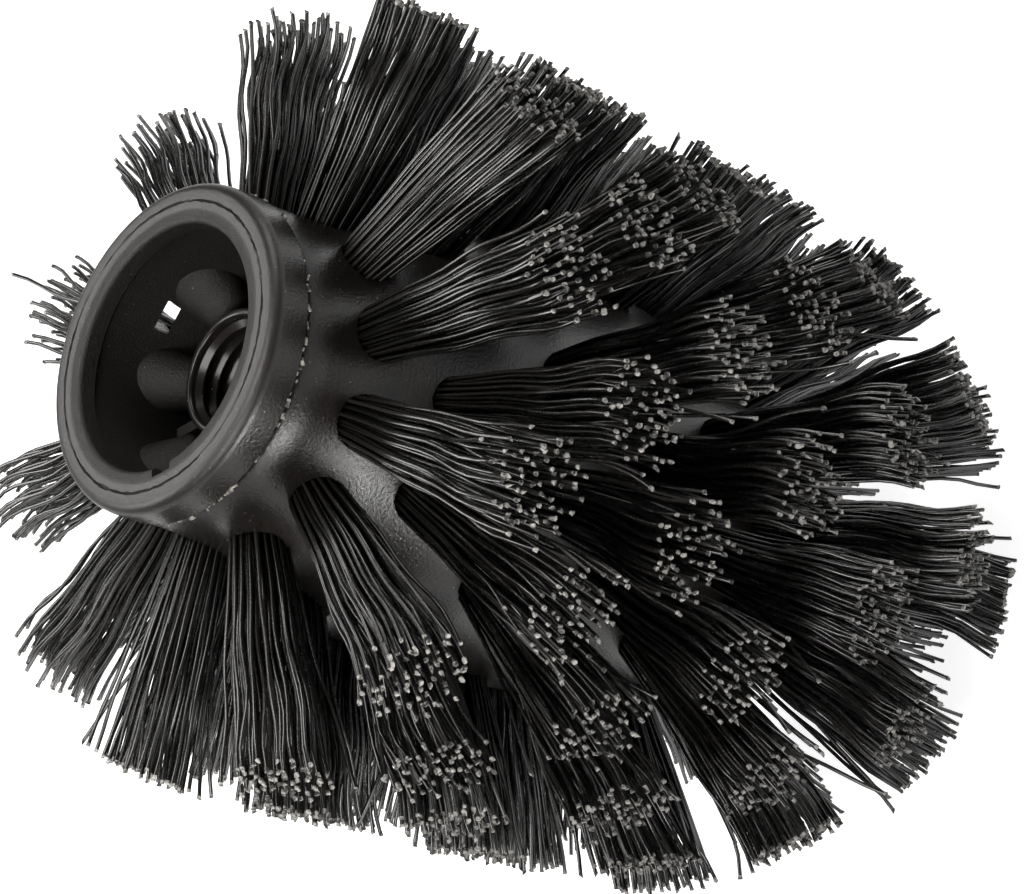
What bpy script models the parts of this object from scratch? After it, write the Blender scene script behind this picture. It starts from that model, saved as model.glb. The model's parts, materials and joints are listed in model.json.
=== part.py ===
"""Toilet brush head: a moulded body with a threaded socket, set with rings of bristle tufts.

The axis is Z. The rim of the collar lies in the plane z = 0 and the handle leaves upwards, so every
depth below is measured down from the rim. Angles run round Z from +X.
"""

import math

import bmesh
import bpy
from mathutils import Matrix, Vector

MM = 0.001

# Outside of the body, from the neck to the rounded end
NECK_RADIUS = 16.6 * MM
BELLY_RADIUS = 21.7 * MM
FLARE_START = 8.0 * MM
FLARE_LENGTH = 26.0 * MM
DOME_START = 42.0 * MM
BODY_LENGTH = 77.5 * MM
DOME_POWER = 2.4

# Inside of the body
NECK_WALL = 3.6 * MM
CAVITY_RADIUS = NECK_RADIUS - NECK_WALL
CAVITY_START = 14.5 * MM
WALL = 5.0 * MM
END_WALL = 6.5 * MM
BORE_RADIUS = 5.1 * MM
BORE_LENGTH = 24.0 * MM
BORE_CHAMFER = 0.5 * MM
TUBE_WALL = 1.4 * MM
TUBE_RADIUS = BORE_RADIUS + TUBE_WALL
TUBE_GAP = 2.5 * MM
TUBE_DEPTH = 8.5 * MM
RIB_THICKNESS = 1.2 * MM
RIB_DEPTH = 13.0 * MM
RIB_ANGLE = 36.5

# Collar, at the mouth of the body
COLLAR_STEP = 0.2 * MM
COLLAR_RADIUS = NECK_RADIUS + COLLAR_STEP
COLLAR_LENGTH = 4.0 * MM
RIM_ROUND = 1.1 * MM
LIP_REACH = 0.5 * MM
LIP_CHAMFER = 0.4 * MM
LIP_DEPTH = 2.0 * MM
MOUTH_RADIUS = CAVITY_RADIUS - LIP_REACH
GROOVE_DEPTH = 0.35 * MM
GROOVE_WIDTH = 0.5 * MM

# Petals that stand on the wall of the neck round the socket tube, as close as their gap allows
PETAL_COUNT = 8
PETAL_ANGLE = 14.0
PETAL_TOP = 6.8 * MM
PETAL_REACH = 2.8 * MM
PETAL_GAP = 0.2 * MM
PETAL_CHAMFER = 1.0 * MM
PETAL_RADIUS = (CAVITY_RADIUS - PETAL_REACH) * math.sin(math.pi / PETAL_COUNT) - PETAL_GAP / 2.0

# Notch in the lip and drain slot in the neck
NOTCH_WIDTH = 2.6 * MM
NOTCH_DEPTH = 1.3 * MM
NOTCH_REACH = 1.0 * MM
NOTCH_ANGLE = -57.0
SLOT_WIDTH = 3.2 * MM
SLOT_HEIGHT = 1.8 * MM
SLOT_DEPTH = 7.6 * MM
SLOT_ANGLE = 167.5

# Tufts: bundles of strands that stand in a slice of the wall
TUFT_LENGTH = 24.1 * MM
TUFT_ROOT_RADIUS = 2.35 * MM
TUFT_TIP_RADIUS = 4.9 * MM
STRANDS_PER_TUFT = 6
STRAND_TIP_SHARE = 1.2
TUFT_SINK = 0.6 * MM
SLICE_WIDTH = 6.2 * MM
SLICE_DEPTH = 2.4 * MM
END_SLICE_GAP = 0.6 * MM
END_TUFT_MARGIN = 0.3 * MM
END_TUFT_LEAN = 80.0
END_TUFT_COUNT = 3

# Gap between a slice and its pocket, how far a cutter runs past what it cuts, and the distance
# either side of a point over which the surface's slope is taken
CLEARANCE = 0.3 * MM
OVERRUN = 1.0 * MM
MERGE = 0.005 * MM
TANGENT_STEP = 0.1 * MM

# One row for each ring: depth as a share of the body's length, tuft length as a share of TUFT_LENGTH
RING_SHARES = (
    (0.170, 0.960),
    (0.288, 0.880),
    (0.432, 0.765),
    (0.578, 0.765),
    (0.722, 0.822),
    (0.861, 0.920),
    (0.945, 1.065),
)
# For each ring: lean towards the rounded end in degrees, and how far its first tuft is turned from
# +X, as a share of the angle from tuft to tuft
RING_LEAN_ANGLES = (7.0, 14.5, 21.0, 25.0, 31.5, 35.0, 58.5)
RING_TURN_SHARES = (0.0, 0.5, 0.0, 0.5, 0.0, 0.5, 0.333)
RING_TUFTS = 12
LAST_RING_TUFTS = 8

ROUND_STEPS = 48
INSIDE_STEPS = 40
END_STEPS = 12
END_POINTS = 2
FLARE_POINTS = 7
DOME_POINTS = 10
RIM_POINTS = 4
CAVITY_POINTS = 5
SLICE_STEP_ANGLE = 26.0
PETAL_STEPS = 20
SMOOTH_ANGLE = 35.0

BODY_COLOUR = (0.045, 0.044, 0.042, 1.0)
BODY_ROUGHNESS = 0.45
BRISTLE_COLOUR = (0.012, 0.012, 0.011, 1.0)
BRISTLE_ROUGHNESS = 0.35


def clear_scene():
    """Remove what the opened scene holds."""
    for item in list(bpy.data.objects):
        bpy.data.objects.remove(item, do_unlink=True)


def new_collection(name):
    """Return a new collection that hangs under the scene's own."""
    collection = bpy.data.collections.new(name)
    bpy.context.scene.collection.children.link(collection)
    return collection


def make_material(name, colour, roughness):
    """Return a plain plastic material for one sub-part."""
    material = bpy.data.materials.new(name)
    material.use_nodes = True
    shader = material.node_tree.nodes["Principled BSDF"]
    shader.inputs["Base Color"].default_value = colour
    shader.inputs["Roughness"].default_value = roughness
    shader.inputs["Metallic"].default_value = 0.0
    material.diffuse_color = colour
    return material


def add_part(name, mesh, collection, material):
    """Return a sub-part's object, with its material."""
    part = bpy.data.objects.new(name, mesh)
    collection.objects.link(part)
    part.data.materials.clear()
    part.data.materials.append(material)
    return part


def add_cutter(name, mesh, collection):
    """Return an object that only shapes others, drawn as wire and left out of renders."""
    cutter = bpy.data.objects.new(name, mesh)
    collection.objects.link(cutter)
    cutter.hide_render = True
    cutter.display_type = "WIRE"
    return cutter


def mesh_from(name, shape):
    """Write a bmesh into a new mesh, with its faces turned outwards, and free the bmesh."""
    bmesh.ops.recalc_face_normals(shape, faces=shape.faces[:])
    mesh = bpy.data.meshes.new(name)
    shape.to_mesh(mesh)
    shape.free()
    return mesh


def evaluated_mesh(source):
    """Return a copy of an object's mesh as its modifiers leave it."""
    bpy.context.view_layer.update()
    seen = source.evaluated_get(bpy.context.evaluated_depsgraph_get())
    return bpy.data.meshes.new_from_object(seen)


def outline_mesh(name, points, closed=False):
    """Return an outline in the XZ plane, given as (radius, height) down its outer side."""
    shape = bmesh.new()
    corners = [shape.verts.new((radius, 0.0, height)) for radius, height in points]
    for upper, lower in zip(corners, corners[1:]):
        shape.edges.new((upper, lower))
    if closed:
        shape.edges.new((corners[-1], corners[0]))
    mesh = bpy.data.meshes.new(name)
    shape.to_mesh(mesh)
    shape.free()
    return mesh


def add_screw(item, steps):
    """Turn an object's outline once round Z, in a number of steps."""
    turn = item.modifiers.new("turn", "SCREW")
    turn.axis = "Z"
    turn.angle = math.tau
    turn.steps = steps
    turn.render_steps = steps
    turn.use_merge_vertices = True
    turn.merge_threshold = MERGE


def add_boolean(item, other, operation):
    """Cut or join another object with an exact Boolean."""
    step = item.modifiers.new(other.name, "BOOLEAN")
    step.operation = operation
    step.solver = "EXACT"
    step.object = other


def body_radius(depth):
    """Return the body's outer radius at a depth below the rim, past the collar."""
    if depth <= DOME_START:
        travel = min(max((depth - FLARE_START) / FLARE_LENGTH, 0.0), 1.0)
        ease = (1.0 - math.cos(math.pi * travel)) / 2.0
        return NECK_RADIUS + (BELLY_RADIUS - NECK_RADIUS) * ease
    return dome_radius(depth, BELLY_RADIUS, BODY_LENGTH)


def dome_radius(depth, radius, end):
    """Return the radius of a rounded end that starts at DOME_START and closes at a depth."""
    travel = min((depth - DOME_START) / (end - DOME_START), 1.0)
    return radius * (1.0 - travel**DOME_POWER) ** (1.0 / DOME_POWER)


def dome_depths(end, points):
    """Return depths that follow a rounded end closely, without its first and last."""
    angles = [math.pi / 2.0 * step / points for step in range(1, points)]
    return [DOME_START + (end - DOME_START) * math.sin(angle) for angle in angles]


def flare_depths(start, points):
    """Return evenly spaced depths from a start to where the dome begins."""
    return [start + (DOME_START - start) * step / points for step in range(points + 1)]


def surface_frame(depth):
    """Return the outer surface's place, downward tangent and outward normal in the XZ plane."""
    above = Vector((body_radius(depth - TANGENT_STEP), 0.0, TANGENT_STEP - depth))
    below = Vector((body_radius(depth + TANGENT_STEP), 0.0, -TANGENT_STEP - depth))
    tangent = (below - above).normalized()
    normal = Vector((-tangent.z, 0.0, tangent.x))
    return Vector((body_radius(depth), 0.0, -depth)), tangent, normal


def rim_outline():
    """Return the rim from its flat, round the outer edge, to the groove and the neck."""
    flat = COLLAR_RADIUS - RIM_ROUND
    points = [(0.0, 0.0), (flat, 0.0)]
    for step in range(1, RIM_POINTS + 1):
        angle = math.pi / 2.0 * step / RIM_POINTS
        points.append((flat + RIM_ROUND * math.sin(angle), -RIM_ROUND * (1.0 - math.cos(angle))))
    floor = NECK_RADIUS - GROOVE_DEPTH
    points.append((COLLAR_RADIUS, -COLLAR_LENGTH))
    points.append((floor, -COLLAR_LENGTH - GROOVE_DEPTH / 2.0))
    points.append((NECK_RADIUS, -COLLAR_LENGTH - GROOVE_WIDTH))
    return points


def body_outline():
    """Return the body's whole outside, from the centre of the rim to the end of the dome."""
    points = rim_outline()
    points += [(body_radius(depth), -depth) for depth in flare_depths(FLARE_START, FLARE_POINTS)]
    points += [(body_radius(depth), -depth) for depth in dome_depths(BODY_LENGTH, DOME_POINTS)]
    points.append((0.0, -BODY_LENGTH))
    return points


def hollow_outline():
    """Return the hollow round the socket tube, from above the mouth to the floor and back up."""
    top = MOUTH_RADIUS + LIP_CHAMFER
    floor = BODY_LENGTH - END_WALL
    points = [(0.0, OVERRUN), (top, OVERRUN), (top, 0.0), (MOUTH_RADIUS, -LIP_CHAMFER)]
    points += [(MOUTH_RADIUS, -LIP_DEPTH), (CAVITY_RADIUS, -LIP_DEPTH - LIP_CHAMFER)]
    for depth in flare_depths(CAVITY_START, CAVITY_POINTS):
        points.append((max(body_radius(depth) - WALL, CAVITY_RADIUS), -depth))
    for depth in dome_depths(floor, CAVITY_POINTS):
        radius = dome_radius(depth, BELLY_RADIUS - WALL, floor)
        if radius > TUBE_RADIUS + TUBE_GAP:
            points.append((radius, -depth))
    points.append((TUBE_RADIUS, points[-1][1]))
    points += [(TUBE_RADIUS, -TUBE_DEPTH), (0.0, -TUBE_DEPTH)]
    return points


def bore_outline():
    """Return the socket's bore with its lead-in."""
    wide = BORE_RADIUS + BORE_CHAMFER
    points = [(0.0, OVERRUN - TUBE_DEPTH), (wide, OVERRUN - TUBE_DEPTH), (wide, -TUBE_DEPTH)]
    points += [(BORE_RADIUS, -TUBE_DEPTH - BORE_CHAMFER)]
    points += [(BORE_RADIUS, -TUBE_DEPTH - BORE_LENGTH), (0.0, -TUBE_DEPTH - BORE_LENGTH)]
    return points


def add_turned_cutter(name, points, steps, collection):
    """Return a cutter turned from an outline."""
    cutter = add_cutter(name, outline_mesh(name, points), collection)
    add_screw(cutter, steps)
    return cutter


def box_mesh(name, size, centre, angle):
    """Return a box of a size, centred at a point that is then turned round Z by an angle."""
    shape = bmesh.new()
    bmesh.ops.create_cube(shape, size=1.0)
    turn = Matrix.Rotation(math.radians(angle), 4, "Z")
    place = turn @ Matrix.Translation(centre) @ Matrix.Diagonal((*size, 1.0))
    bmesh.ops.transform(shape, matrix=place, verts=shape.verts[:])
    return mesh_from(name, shape)


def make_rib_gaps(hollow, cutters):
    """Leave the hollow's cutter open along two crossed slabs, which stay as the ribs."""
    height = BODY_LENGTH - RIB_DEPTH
    centre = Vector((0.0, 0.0, -RIB_DEPTH - height / 2.0))
    span = BELLY_RADIUS * 2.0
    for number in range(2):
        size = (span, RIB_THICKNESS, height)
        mesh = box_mesh("rib_gap", size, centre, RIB_ANGLE + 90.0 * number)
        add_boolean(hollow, add_cutter(f"rib_gap_{number + 1}", mesh, cutters), "DIFFERENCE")


def make_petals(cutters):
    """Return the petals: short round bars that point from the wall at the axis, with chamfered ends."""
    shape = bmesh.new()
    inner = CAVITY_RADIUS - PETAL_REACH
    length = PETAL_REACH + NECK_WALL / 2.0
    centre = Vector((inner + length / 2.0, 0.0, -PETAL_TOP - PETAL_RADIUS))
    level = Matrix.Translation(centre) @ Matrix.Rotation(math.radians(90.0), 4, "Y")
    for step in range(PETAL_COUNT):
        turn = Matrix.Rotation(math.radians(PETAL_ANGLE) + math.tau * step / PETAL_COUNT, 4, "Z")
        bmesh.ops.create_cone(
            shape,
            cap_ends=True,
            segments=PETAL_STEPS,
            radius1=PETAL_RADIUS,
            radius2=PETAL_RADIUS,
            depth=length,
            matrix=turn @ level,
        )
    fronts = []
    for face in shape.faces:
        place = face.calc_center_median()
        if len(face.verts) == PETAL_STEPS and math.hypot(place.x, place.y) < CAVITY_RADIUS:
            fronts += face.edges[:]
    bmesh.ops.bevel(
        shape, geom=fronts, offset=PETAL_CHAMFER, segments=1, profile=0.5, affect="EDGES", material=-1
    )
    return add_cutter("petals", mesh_from("petals", shape), cutters)


def slice_bar(name, depth, half_angle, grow):
    """Return a bar that follows the body's surface round Z, from minus to plus half_angle.

    The bar's outer face lies in the surface. A pocket's bar grows by the clearance on every other
    side, and past the surface by the overrun.
    """
    place, tangent, normal = surface_frame(depth)
    rise = OVERRUN if grow else 0.0
    width = SLICE_WIDTH + 2.0 * grow
    height = SLICE_DEPTH + grow + rise
    centre = place + normal * (rise - height / 2.0)
    shape = bmesh.new()
    bmesh.ops.create_grid(shape, x_segments=1, y_segments=1, size=0.5)
    frame = Matrix((tangent * width, normal * height, normal.cross(tangent))).transposed().to_4x4()
    bmesh.ops.transform(shape, matrix=Matrix.Translation(centre) @ frame, verts=shape.verts[:])
    spread = half_angle + grow / place.x
    turn = Matrix.Rotation(-spread, 3, "Z")
    bmesh.ops.rotate(shape, matrix=turn, verts=shape.verts[:])
    bmesh.ops.spin(
        shape, geom=shape.faces[:], axis=(0.0, 0.0, 1.0), angle=2.0 * spread, steps=slice_steps(half_angle)
    )
    return mesh_from(name, shape)


def slice_steps(half_angle):
    """Return how many straight steps a slice and its pocket take round Z."""
    return math.ceil(2.0 * half_angle / math.radians(SLICE_STEP_ANGLE))


def half_slice(radius, pitch):
    """Return the half angle of a slice that carries two tufts a pitch apart."""
    return math.radians(pitch) / 2.0 + SLICE_WIDTH / 2.0 / radius


def tuft_mesh(name, length):
    """Return one tuft along +Z: a plug whose top triangles are drawn out into spreading strands."""
    shape = bmesh.new()
    bmesh.ops.create_cone(
        shape,
        cap_ends=True,
        cap_tris=True,
        segments=STRANDS_PER_TUFT,
        radius1=TUFT_ROOT_RADIUS,
        radius2=TUFT_ROOT_RADIUS,
        depth=TUFT_SINK,
    )
    bmesh.ops.translate(shape, vec=(0.0, 0.0, -TUFT_SINK / 2.0), verts=shape.verts[:])
    tops = [face for face in shape.faces if face.calc_center_median().z > -MERGE]
    swell = Matrix.Diagonal((STRAND_TIP_SHARE, STRAND_TIP_SHARE, 1.0, 1.0))
    for face in bmesh.ops.extrude_discrete_faces(shape, faces=tops)["faces"]:
        centre = face.calc_center_median()
        outward = Vector((centre.x, centre.y, 0.0)).normalized()
        move = outward * (TUFT_TIP_RADIUS - TUFT_ROOT_RADIUS) + Vector((0.0, 0.0, length))
        bmesh.ops.transform(shape, matrix=swell, space=Matrix.Translation(-centre), verts=face.verts[:])
        bmesh.ops.translate(shape, vec=move, verts=face.verts[:])
    return mesh_from(name, shape)


def tuft_place(radius, height, lean, angle):
    """Return where a tuft stands: at a radius and height, leaning down from level, turned round Z."""
    tilt = Matrix.Rotation(math.radians(90.0 + lean), 4, "Y")
    turn = Matrix.Rotation(math.radians(angle), 4, "Z")
    return turn @ Matrix.Translation((radius, 0.0, height)) @ tilt


def tuft_set(name, backing, places, length, cutters):
    """Return the mesh of a backing slice with a tuft joined to it at each place."""
    whole = add_cutter(name, backing, cutters)
    for number, place in enumerate(places):
        mesh = tuft_mesh("tuft", length)
        mesh.transform(place)
        add_boolean(whole, add_cutter(f"{name}_tuft_{number + 1}", mesh, cutters), "UNION")
    return evaluated_mesh(whole)


def make_ring(number, parts, cutters, material):
    """Make one ring: its tufts, two to a slice, and return the pockets that the slices lie in."""
    share, length_share = RING_SHARES[number]
    lean = RING_LEAN_ANGLES[number]
    count = LAST_RING_TUFTS if number == len(RING_SHARES) - 1 else RING_TUFTS
    depth = BODY_LENGTH * share
    pitch = 360.0 / count
    first = pitch * RING_TURN_SHARES[number]
    radius = body_radius(depth)
    spread = half_slice(radius, pitch)
    slice_mesh = slice_bar("slice", depth, spread, 0.0)
    places = [tuft_place(radius, -depth, lean, side * pitch / 2.0) for side in (-1.0, 1.0)]
    length = TUFT_LENGTH * length_share
    mesh = tuft_set(f"ring_{number + 1}", slice_mesh, places, length, cutters)
    pocket_mesh = slice_bar("pocket", depth, spread, CLEARANCE)
    pockets = []
    for pair in range(count // 2):
        angle = math.radians(first + pitch / 2.0 + 2.0 * pitch * pair)
        part = add_part(f"tuft_pair_ring{number + 1}_{pair + 1}", mesh, parts, material)
        part.rotation_euler = (0.0, 0.0, angle)
        pocket = add_cutter(f"pocket_{number + 1}_{pair + 1}", pocket_mesh, cutters)
        pocket.rotation_euler = (0.0, 0.0, angle)
        pockets.append(pocket)
    return pockets


def depth_at_radius(radius):
    """Return the depth at which the dome narrows to a radius."""
    travel = (1.0 - (radius / BELLY_RADIUS) ** DOME_POWER) ** (1.0 / DOME_POWER)
    return DOME_START + (BODY_LENGTH - DOME_START) * travel


def end_slice_radius():
    """Return the radius of the round slice that fills the dome's end inside the last ring."""
    share, _ = RING_SHARES[-1]
    place, tangent, normal = surface_frame(BODY_LENGTH * share)
    inner = place.x - abs(tangent.x) * SLICE_WIDTH / 2.0 - normal.x * SLICE_DEPTH
    spread = half_slice(place.x, 360.0 / LAST_RING_TUFTS)
    flat = math.cos(spread / slice_steps(spread))
    return inner * flat - 2.0 * CLEARANCE - END_SLICE_GAP


def end_outline(radius, back, rise):
    """Return a round slice of the dome's end, from its flat back to its outer face."""
    points = [(0.0, -back), (radius, -back)]
    for step in range(END_POINTS):
        here = radius * (1.0 - step / END_POINTS)
        points.append((here, -depth_at_radius(here) - rise))
    points.append((0.0, -BODY_LENGTH - rise))
    return points


def make_end(parts, cutters, material):
    """Make the tufts at the dome's end, which share one round slice, and return its pocket."""
    radius = end_slice_radius()
    back = depth_at_radius(radius) - SLICE_DEPTH
    plate = add_turned_cutter("end_slice", end_outline(radius, back, 0.0), END_STEPS, cutters)
    stand = radius - TUFT_ROOT_RADIUS - END_TUFT_MARGIN
    height = -depth_at_radius(stand)
    places = []
    for number in range(END_TUFT_COUNT):
        angle = 360.0 / END_TUFT_COUNT * number
        places.append(tuft_place(stand, height, END_TUFT_LEAN, angle))
    mesh = tuft_set("end_tufts", evaluated_mesh(plate), places, TUFT_LENGTH, cutters)
    add_part("tuft_set_end", mesh, parts, material)
    outline = end_outline(radius + CLEARANCE, back - CLEARANCE, OVERRUN)
    return add_turned_cutter("end_pocket", outline, END_STEPS, cutters)


def make_body(parts, cutters, material, pockets):
    """Make the moulded body: collar, neck, dome, socket tube, ribs and the tuft pockets."""
    body = add_part("brush_head_body", outline_mesh("body", body_outline()), parts, material)
    add_screw(body, ROUND_STEPS)
    hollow = add_turned_cutter("hollow", hollow_outline(), INSIDE_STEPS, cutters)
    make_rib_gaps(hollow, cutters)
    add_boolean(body, hollow, "DIFFERENCE")
    add_boolean(body, make_petals(cutters), "UNION")
    add_boolean(body, add_turned_cutter("bore", bore_outline(), INSIDE_STEPS, cutters), "DIFFERENCE")
    size = (NOTCH_REACH + OVERRUN, NOTCH_WIDTH, NOTCH_DEPTH + OVERRUN)
    centre = Vector((MOUTH_RADIUS + (NOTCH_REACH - OVERRUN) / 2.0, 0.0, (OVERRUN - NOTCH_DEPTH) / 2.0))
    notch = add_cutter("notch", box_mesh("notch", size, centre, NOTCH_ANGLE), cutters)
    add_boolean(body, notch, "DIFFERENCE")
    through = NECK_RADIUS - CAVITY_RADIUS + 2.0 * OVERRUN
    size = (through, SLOT_WIDTH, SLOT_HEIGHT)
    centre = Vector(((NECK_RADIUS + CAVITY_RADIUS) / 2.0, 0.0, -SLOT_DEPTH - SLOT_HEIGHT / 2.0))
    slot = add_cutter("drain_slot", box_mesh("drain_slot", size, centre, SLOT_ANGLE), cutters)
    add_boolean(body, slot, "DIFFERENCE")
    for pocket in pockets:
        add_boolean(body, pocket, "DIFFERENCE")
    return body


def shade(part):
    """Shade a round piece smooth, but keep its edges sharp."""
    part.data.shade_smooth()
    part.data.set_sharp_from_angle(angle=math.radians(SMOOTH_ANGLE))


def main():
    """Build the brush head."""
    clear_scene()
    parts = new_collection("toilet_brush_head")
    cutters = new_collection("cutters")
    body_material = make_material("body_plastic", BODY_COLOUR, BODY_ROUGHNESS)
    bristle_material = make_material("bristle", BRISTLE_COLOUR, BRISTLE_ROUGHNESS)
    pockets = []
    for number in range(len(RING_SHARES)):
        pockets += make_ring(number, parts, cutters, bristle_material)
    pockets.append(make_end(parts, cutters, bristle_material))
    shade(make_body(parts, cutters, body_material, pockets))


main()
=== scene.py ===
"""Looks of the toilet brush head: its moulded body and its tufts of fine filament.

Lengths are in metres, in the frame's own axes: Z is the head's axis, the rim of the collar lies in
the plane z = 0 and the body hangs below it. Depths are measured down from the rim, and angles run
round Z from +X.
"""

import json
import math
import random

import bmesh
import bpy
import numpy as np
from mathutils import Matrix, Vector

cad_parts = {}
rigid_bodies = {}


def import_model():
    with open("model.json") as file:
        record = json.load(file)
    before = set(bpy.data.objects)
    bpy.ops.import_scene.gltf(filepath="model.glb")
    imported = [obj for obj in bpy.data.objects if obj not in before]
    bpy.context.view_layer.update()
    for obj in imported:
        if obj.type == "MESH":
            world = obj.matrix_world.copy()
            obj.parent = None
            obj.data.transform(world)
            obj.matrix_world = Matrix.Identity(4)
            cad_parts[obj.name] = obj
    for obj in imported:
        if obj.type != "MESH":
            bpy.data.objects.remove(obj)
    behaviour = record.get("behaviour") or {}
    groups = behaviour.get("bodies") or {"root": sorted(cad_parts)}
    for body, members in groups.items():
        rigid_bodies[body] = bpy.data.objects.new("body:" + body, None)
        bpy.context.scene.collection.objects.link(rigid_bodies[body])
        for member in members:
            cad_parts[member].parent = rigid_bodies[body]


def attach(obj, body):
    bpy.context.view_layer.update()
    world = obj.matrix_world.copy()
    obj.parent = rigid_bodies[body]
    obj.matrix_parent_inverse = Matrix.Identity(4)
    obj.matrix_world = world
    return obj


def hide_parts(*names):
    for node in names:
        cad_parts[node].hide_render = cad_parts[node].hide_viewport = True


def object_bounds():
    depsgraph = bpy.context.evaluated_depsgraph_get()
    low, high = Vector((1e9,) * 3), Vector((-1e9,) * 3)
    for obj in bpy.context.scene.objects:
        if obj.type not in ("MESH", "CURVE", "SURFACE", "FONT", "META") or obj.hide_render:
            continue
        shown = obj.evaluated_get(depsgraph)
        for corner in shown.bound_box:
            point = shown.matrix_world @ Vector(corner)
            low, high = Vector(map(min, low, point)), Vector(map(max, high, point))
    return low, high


MM = 0.001
SEED = 11

# Collar at the mouth of the body
COLLAR_RADIUS = 16.8 * MM
COLLAR_LENGTH = 4.0 * MM
MOUTH_RADIUS = 12.5 * MM
RIM_FLAT_RADIUS = 15.7 * MM
RIM_ROUND = 1.3 * MM
LIP_ROUND = 0.5 * MM
LIP_DEPTH = 2.0 * MM
WITNESS_RADIUS = 14.74 * MM
WITNESS_WIDTH = 0.3 * MM
WITNESS_DEPTH = 0.2 * MM
WITNESS_WANDER = 0.08 * MM
GROOVE_DEPTH = 0.2 * MM
GROOVE_WIDTH = 0.7 * MM

# Torn flash in the groove under the collar. A scrap's reach is a share of its size, its drop a share
# of the groove's width, and its wander a share of a place. It rolls and tips by angles in radians.
FLASH_PLACES = 200
FLASH_SHARE = 0.4
FLASH_BUNCHES = 5
FLASH_SIZE = (0.34 * MM, 0.6 * MM, 0.24 * MM)
FLASH_SIZE_RANGE = (0.3, 1.4)
FLASH_REACH = 0.4
FLASH_DROP = 0.5
FLASH_WANDER = 0.4
FLASH_ROLL = 0.4
FLASH_TIP = 0.3

# Outside of the body, from the neck to the rounded end
NECK_RADIUS = 16.6 * MM
BELLY_RADIUS = 21.7 * MM
FLARE_START = 8.0 * MM
FLARE_LENGTH = 26.0 * MM
DOME_START = 42.0 * MM
BODY_LENGTH = 77.5 * MM
DOME_POWER = 2.4

# Inside of the body
CAVITY_RADIUS = 13.0 * MM
CAVITY_START = 14.5 * MM
WALL = 5.0 * MM
END_WALL = 6.5 * MM
TUBE_RADIUS = 6.5 * MM
TUBE_GAP = 2.5 * MM
TUBE_DEPTH = 8.5 * MM
TUBE_ROUND = 0.3 * MM
BORE_RADIUS = 5.7 * MM
BORE_LENGTH = 24.0 * MM
THREAD_PITCH = 1.75 * MM
THREAD_CREST_RADIUS = 5.1 * MM
THREAD_SHARES = (0.0, 0.38, 0.5, 0.88)
RIB_COUNT = 4
RIB_THICKNESS = 1.2 * MM
RIB_ANGLE = 36.5
RIB_DEPTH = 13.0 * MM
PETAL_COUNT = 8
PETAL_ANGLE = 14.0
PETAL_TOP = 6.8 * MM
PETAL_RADIUS = 3.8 * MM
PETAL_REACH = 3.2 * MM
PETAL_TILT = 28.0
PETAL_TIP_SHARE = 0.6
PETAL_ROUND = 0.7 * MM

# Notch in the lip and drain slot in the neck
NOTCH_WIDTH = 2.6 * MM
NOTCH_DEPTH = 1.3 * MM
NOTCH_REACH = 1.0 * MM
NOTCH_ANGLE = -57.0
SLOT_WIDTH = 3.2 * MM
SLOT_HEIGHT = 1.8 * MM
SLOT_DEPTH = 7.6 * MM
SLOT_ANGLE = 167.5
SLOT_TILT = 36.0
OVERRUN = 1.0 * MM

# Tufts and their filaments
TUFT_LENGTH = 24.1 * MM
TUFT_ROOT_RADIUS = 2.6 * MM
TUFT_TIP_RADIUS = 5.4 * MM
TUFT_SINK = 2.0 * MM
HOLE_RADIUS = 2.75 * MM
HOLE_DEPTH = 2.6 * MM
END_TUFT_REACH = 5.2 * MM
END_TUFT_LEAN = 80.0
END_TUFT_COUNT = 3
FILAMENTS_PER_TUFT = 76
FILAMENT_RADIUS = 0.22 * MM
FILAMENT_SIDES = 5
FILAMENT_STEPS = 14
CUT_FLARE_SHARE = 0.35
CUT_FLARE_LENGTH = 0.32 * MM
CUT_SLANT = 50.0
CRIMP_LENGTH = 11.0 * MM
TUFT_CRIMP = 0.38 * MM
FILAMENT_CRIMP = 0.2 * MM
TUFT_BEND = 0.5 * MM
STRAY_BEND = 2.6 * MM
STRAY_SHARE = 0.09
CUT_SPREAD = 0.24 * MM

# One row for each ring: depth as a share of the body's length, and tuft length as a share of
# TUFT_LENGTH
RING_SHARES = (
    (0.170, 0.960),
    (0.288, 0.880),
    (0.432, 0.765),
    (0.578, 0.765),
    (0.722, 0.822),
    (0.861, 0.920),
    (0.945, 1.065),
)
# For each ring: lean towards the rounded end in degrees, tufts in the ring, how far its first tuft
# is turned from +X as a share of the angle from tuft to tuft, and how far the trimmed ends face down
RING_LEANS = (7.0, 14.5, 21.0, 25.0, 31.5, 35.0, 58.5)
RING_COUNTS = (12, 12, 12, 12, 12, 12, 8)
RING_TURN_SHARES = (0.0, 0.5, 0.0, 0.5, 0.0, 0.5, 0.333)
RING_CUTS = (-2.0, 2.0, 4.0, 7.0, 12.0, 25.0, 50.0)
END_TUFT_CUT = 85.0

# How far filaments differ, as standard deviations. The first four are shares: of the tip's distance
# from the tuft's middle, of the crimp, of its length and of the cut's slope. The last two are angles
# in radians: the tip's turn round the middle, and one wide enough to point anywhere.
TIP_SCATTER = 0.1
CRIMP_SCATTER = 0.25
CRIMP_LENGTH_SCATTER = 0.2
SLANT_SCATTER = 0.6
TIP_TURN = 0.12
FREE_ANGLE = 3.0

# A random share from 0 to 1 is raised to this power, so most strands are dark and a few are paler
TINT_POWER = 2

# Mesh density
ROUND_STEPS = 160
DETAIL_STEPS = 24
PROFILE_POINTS = 24
ARC_POINTS = 6
PETAL_ROUND_STEPS = 4
RIB_ROUND_STEPS = 2
SMOOTH_ANGLE = 32.0
MERGE_DISTANCE = 0.001 * MM

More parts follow.
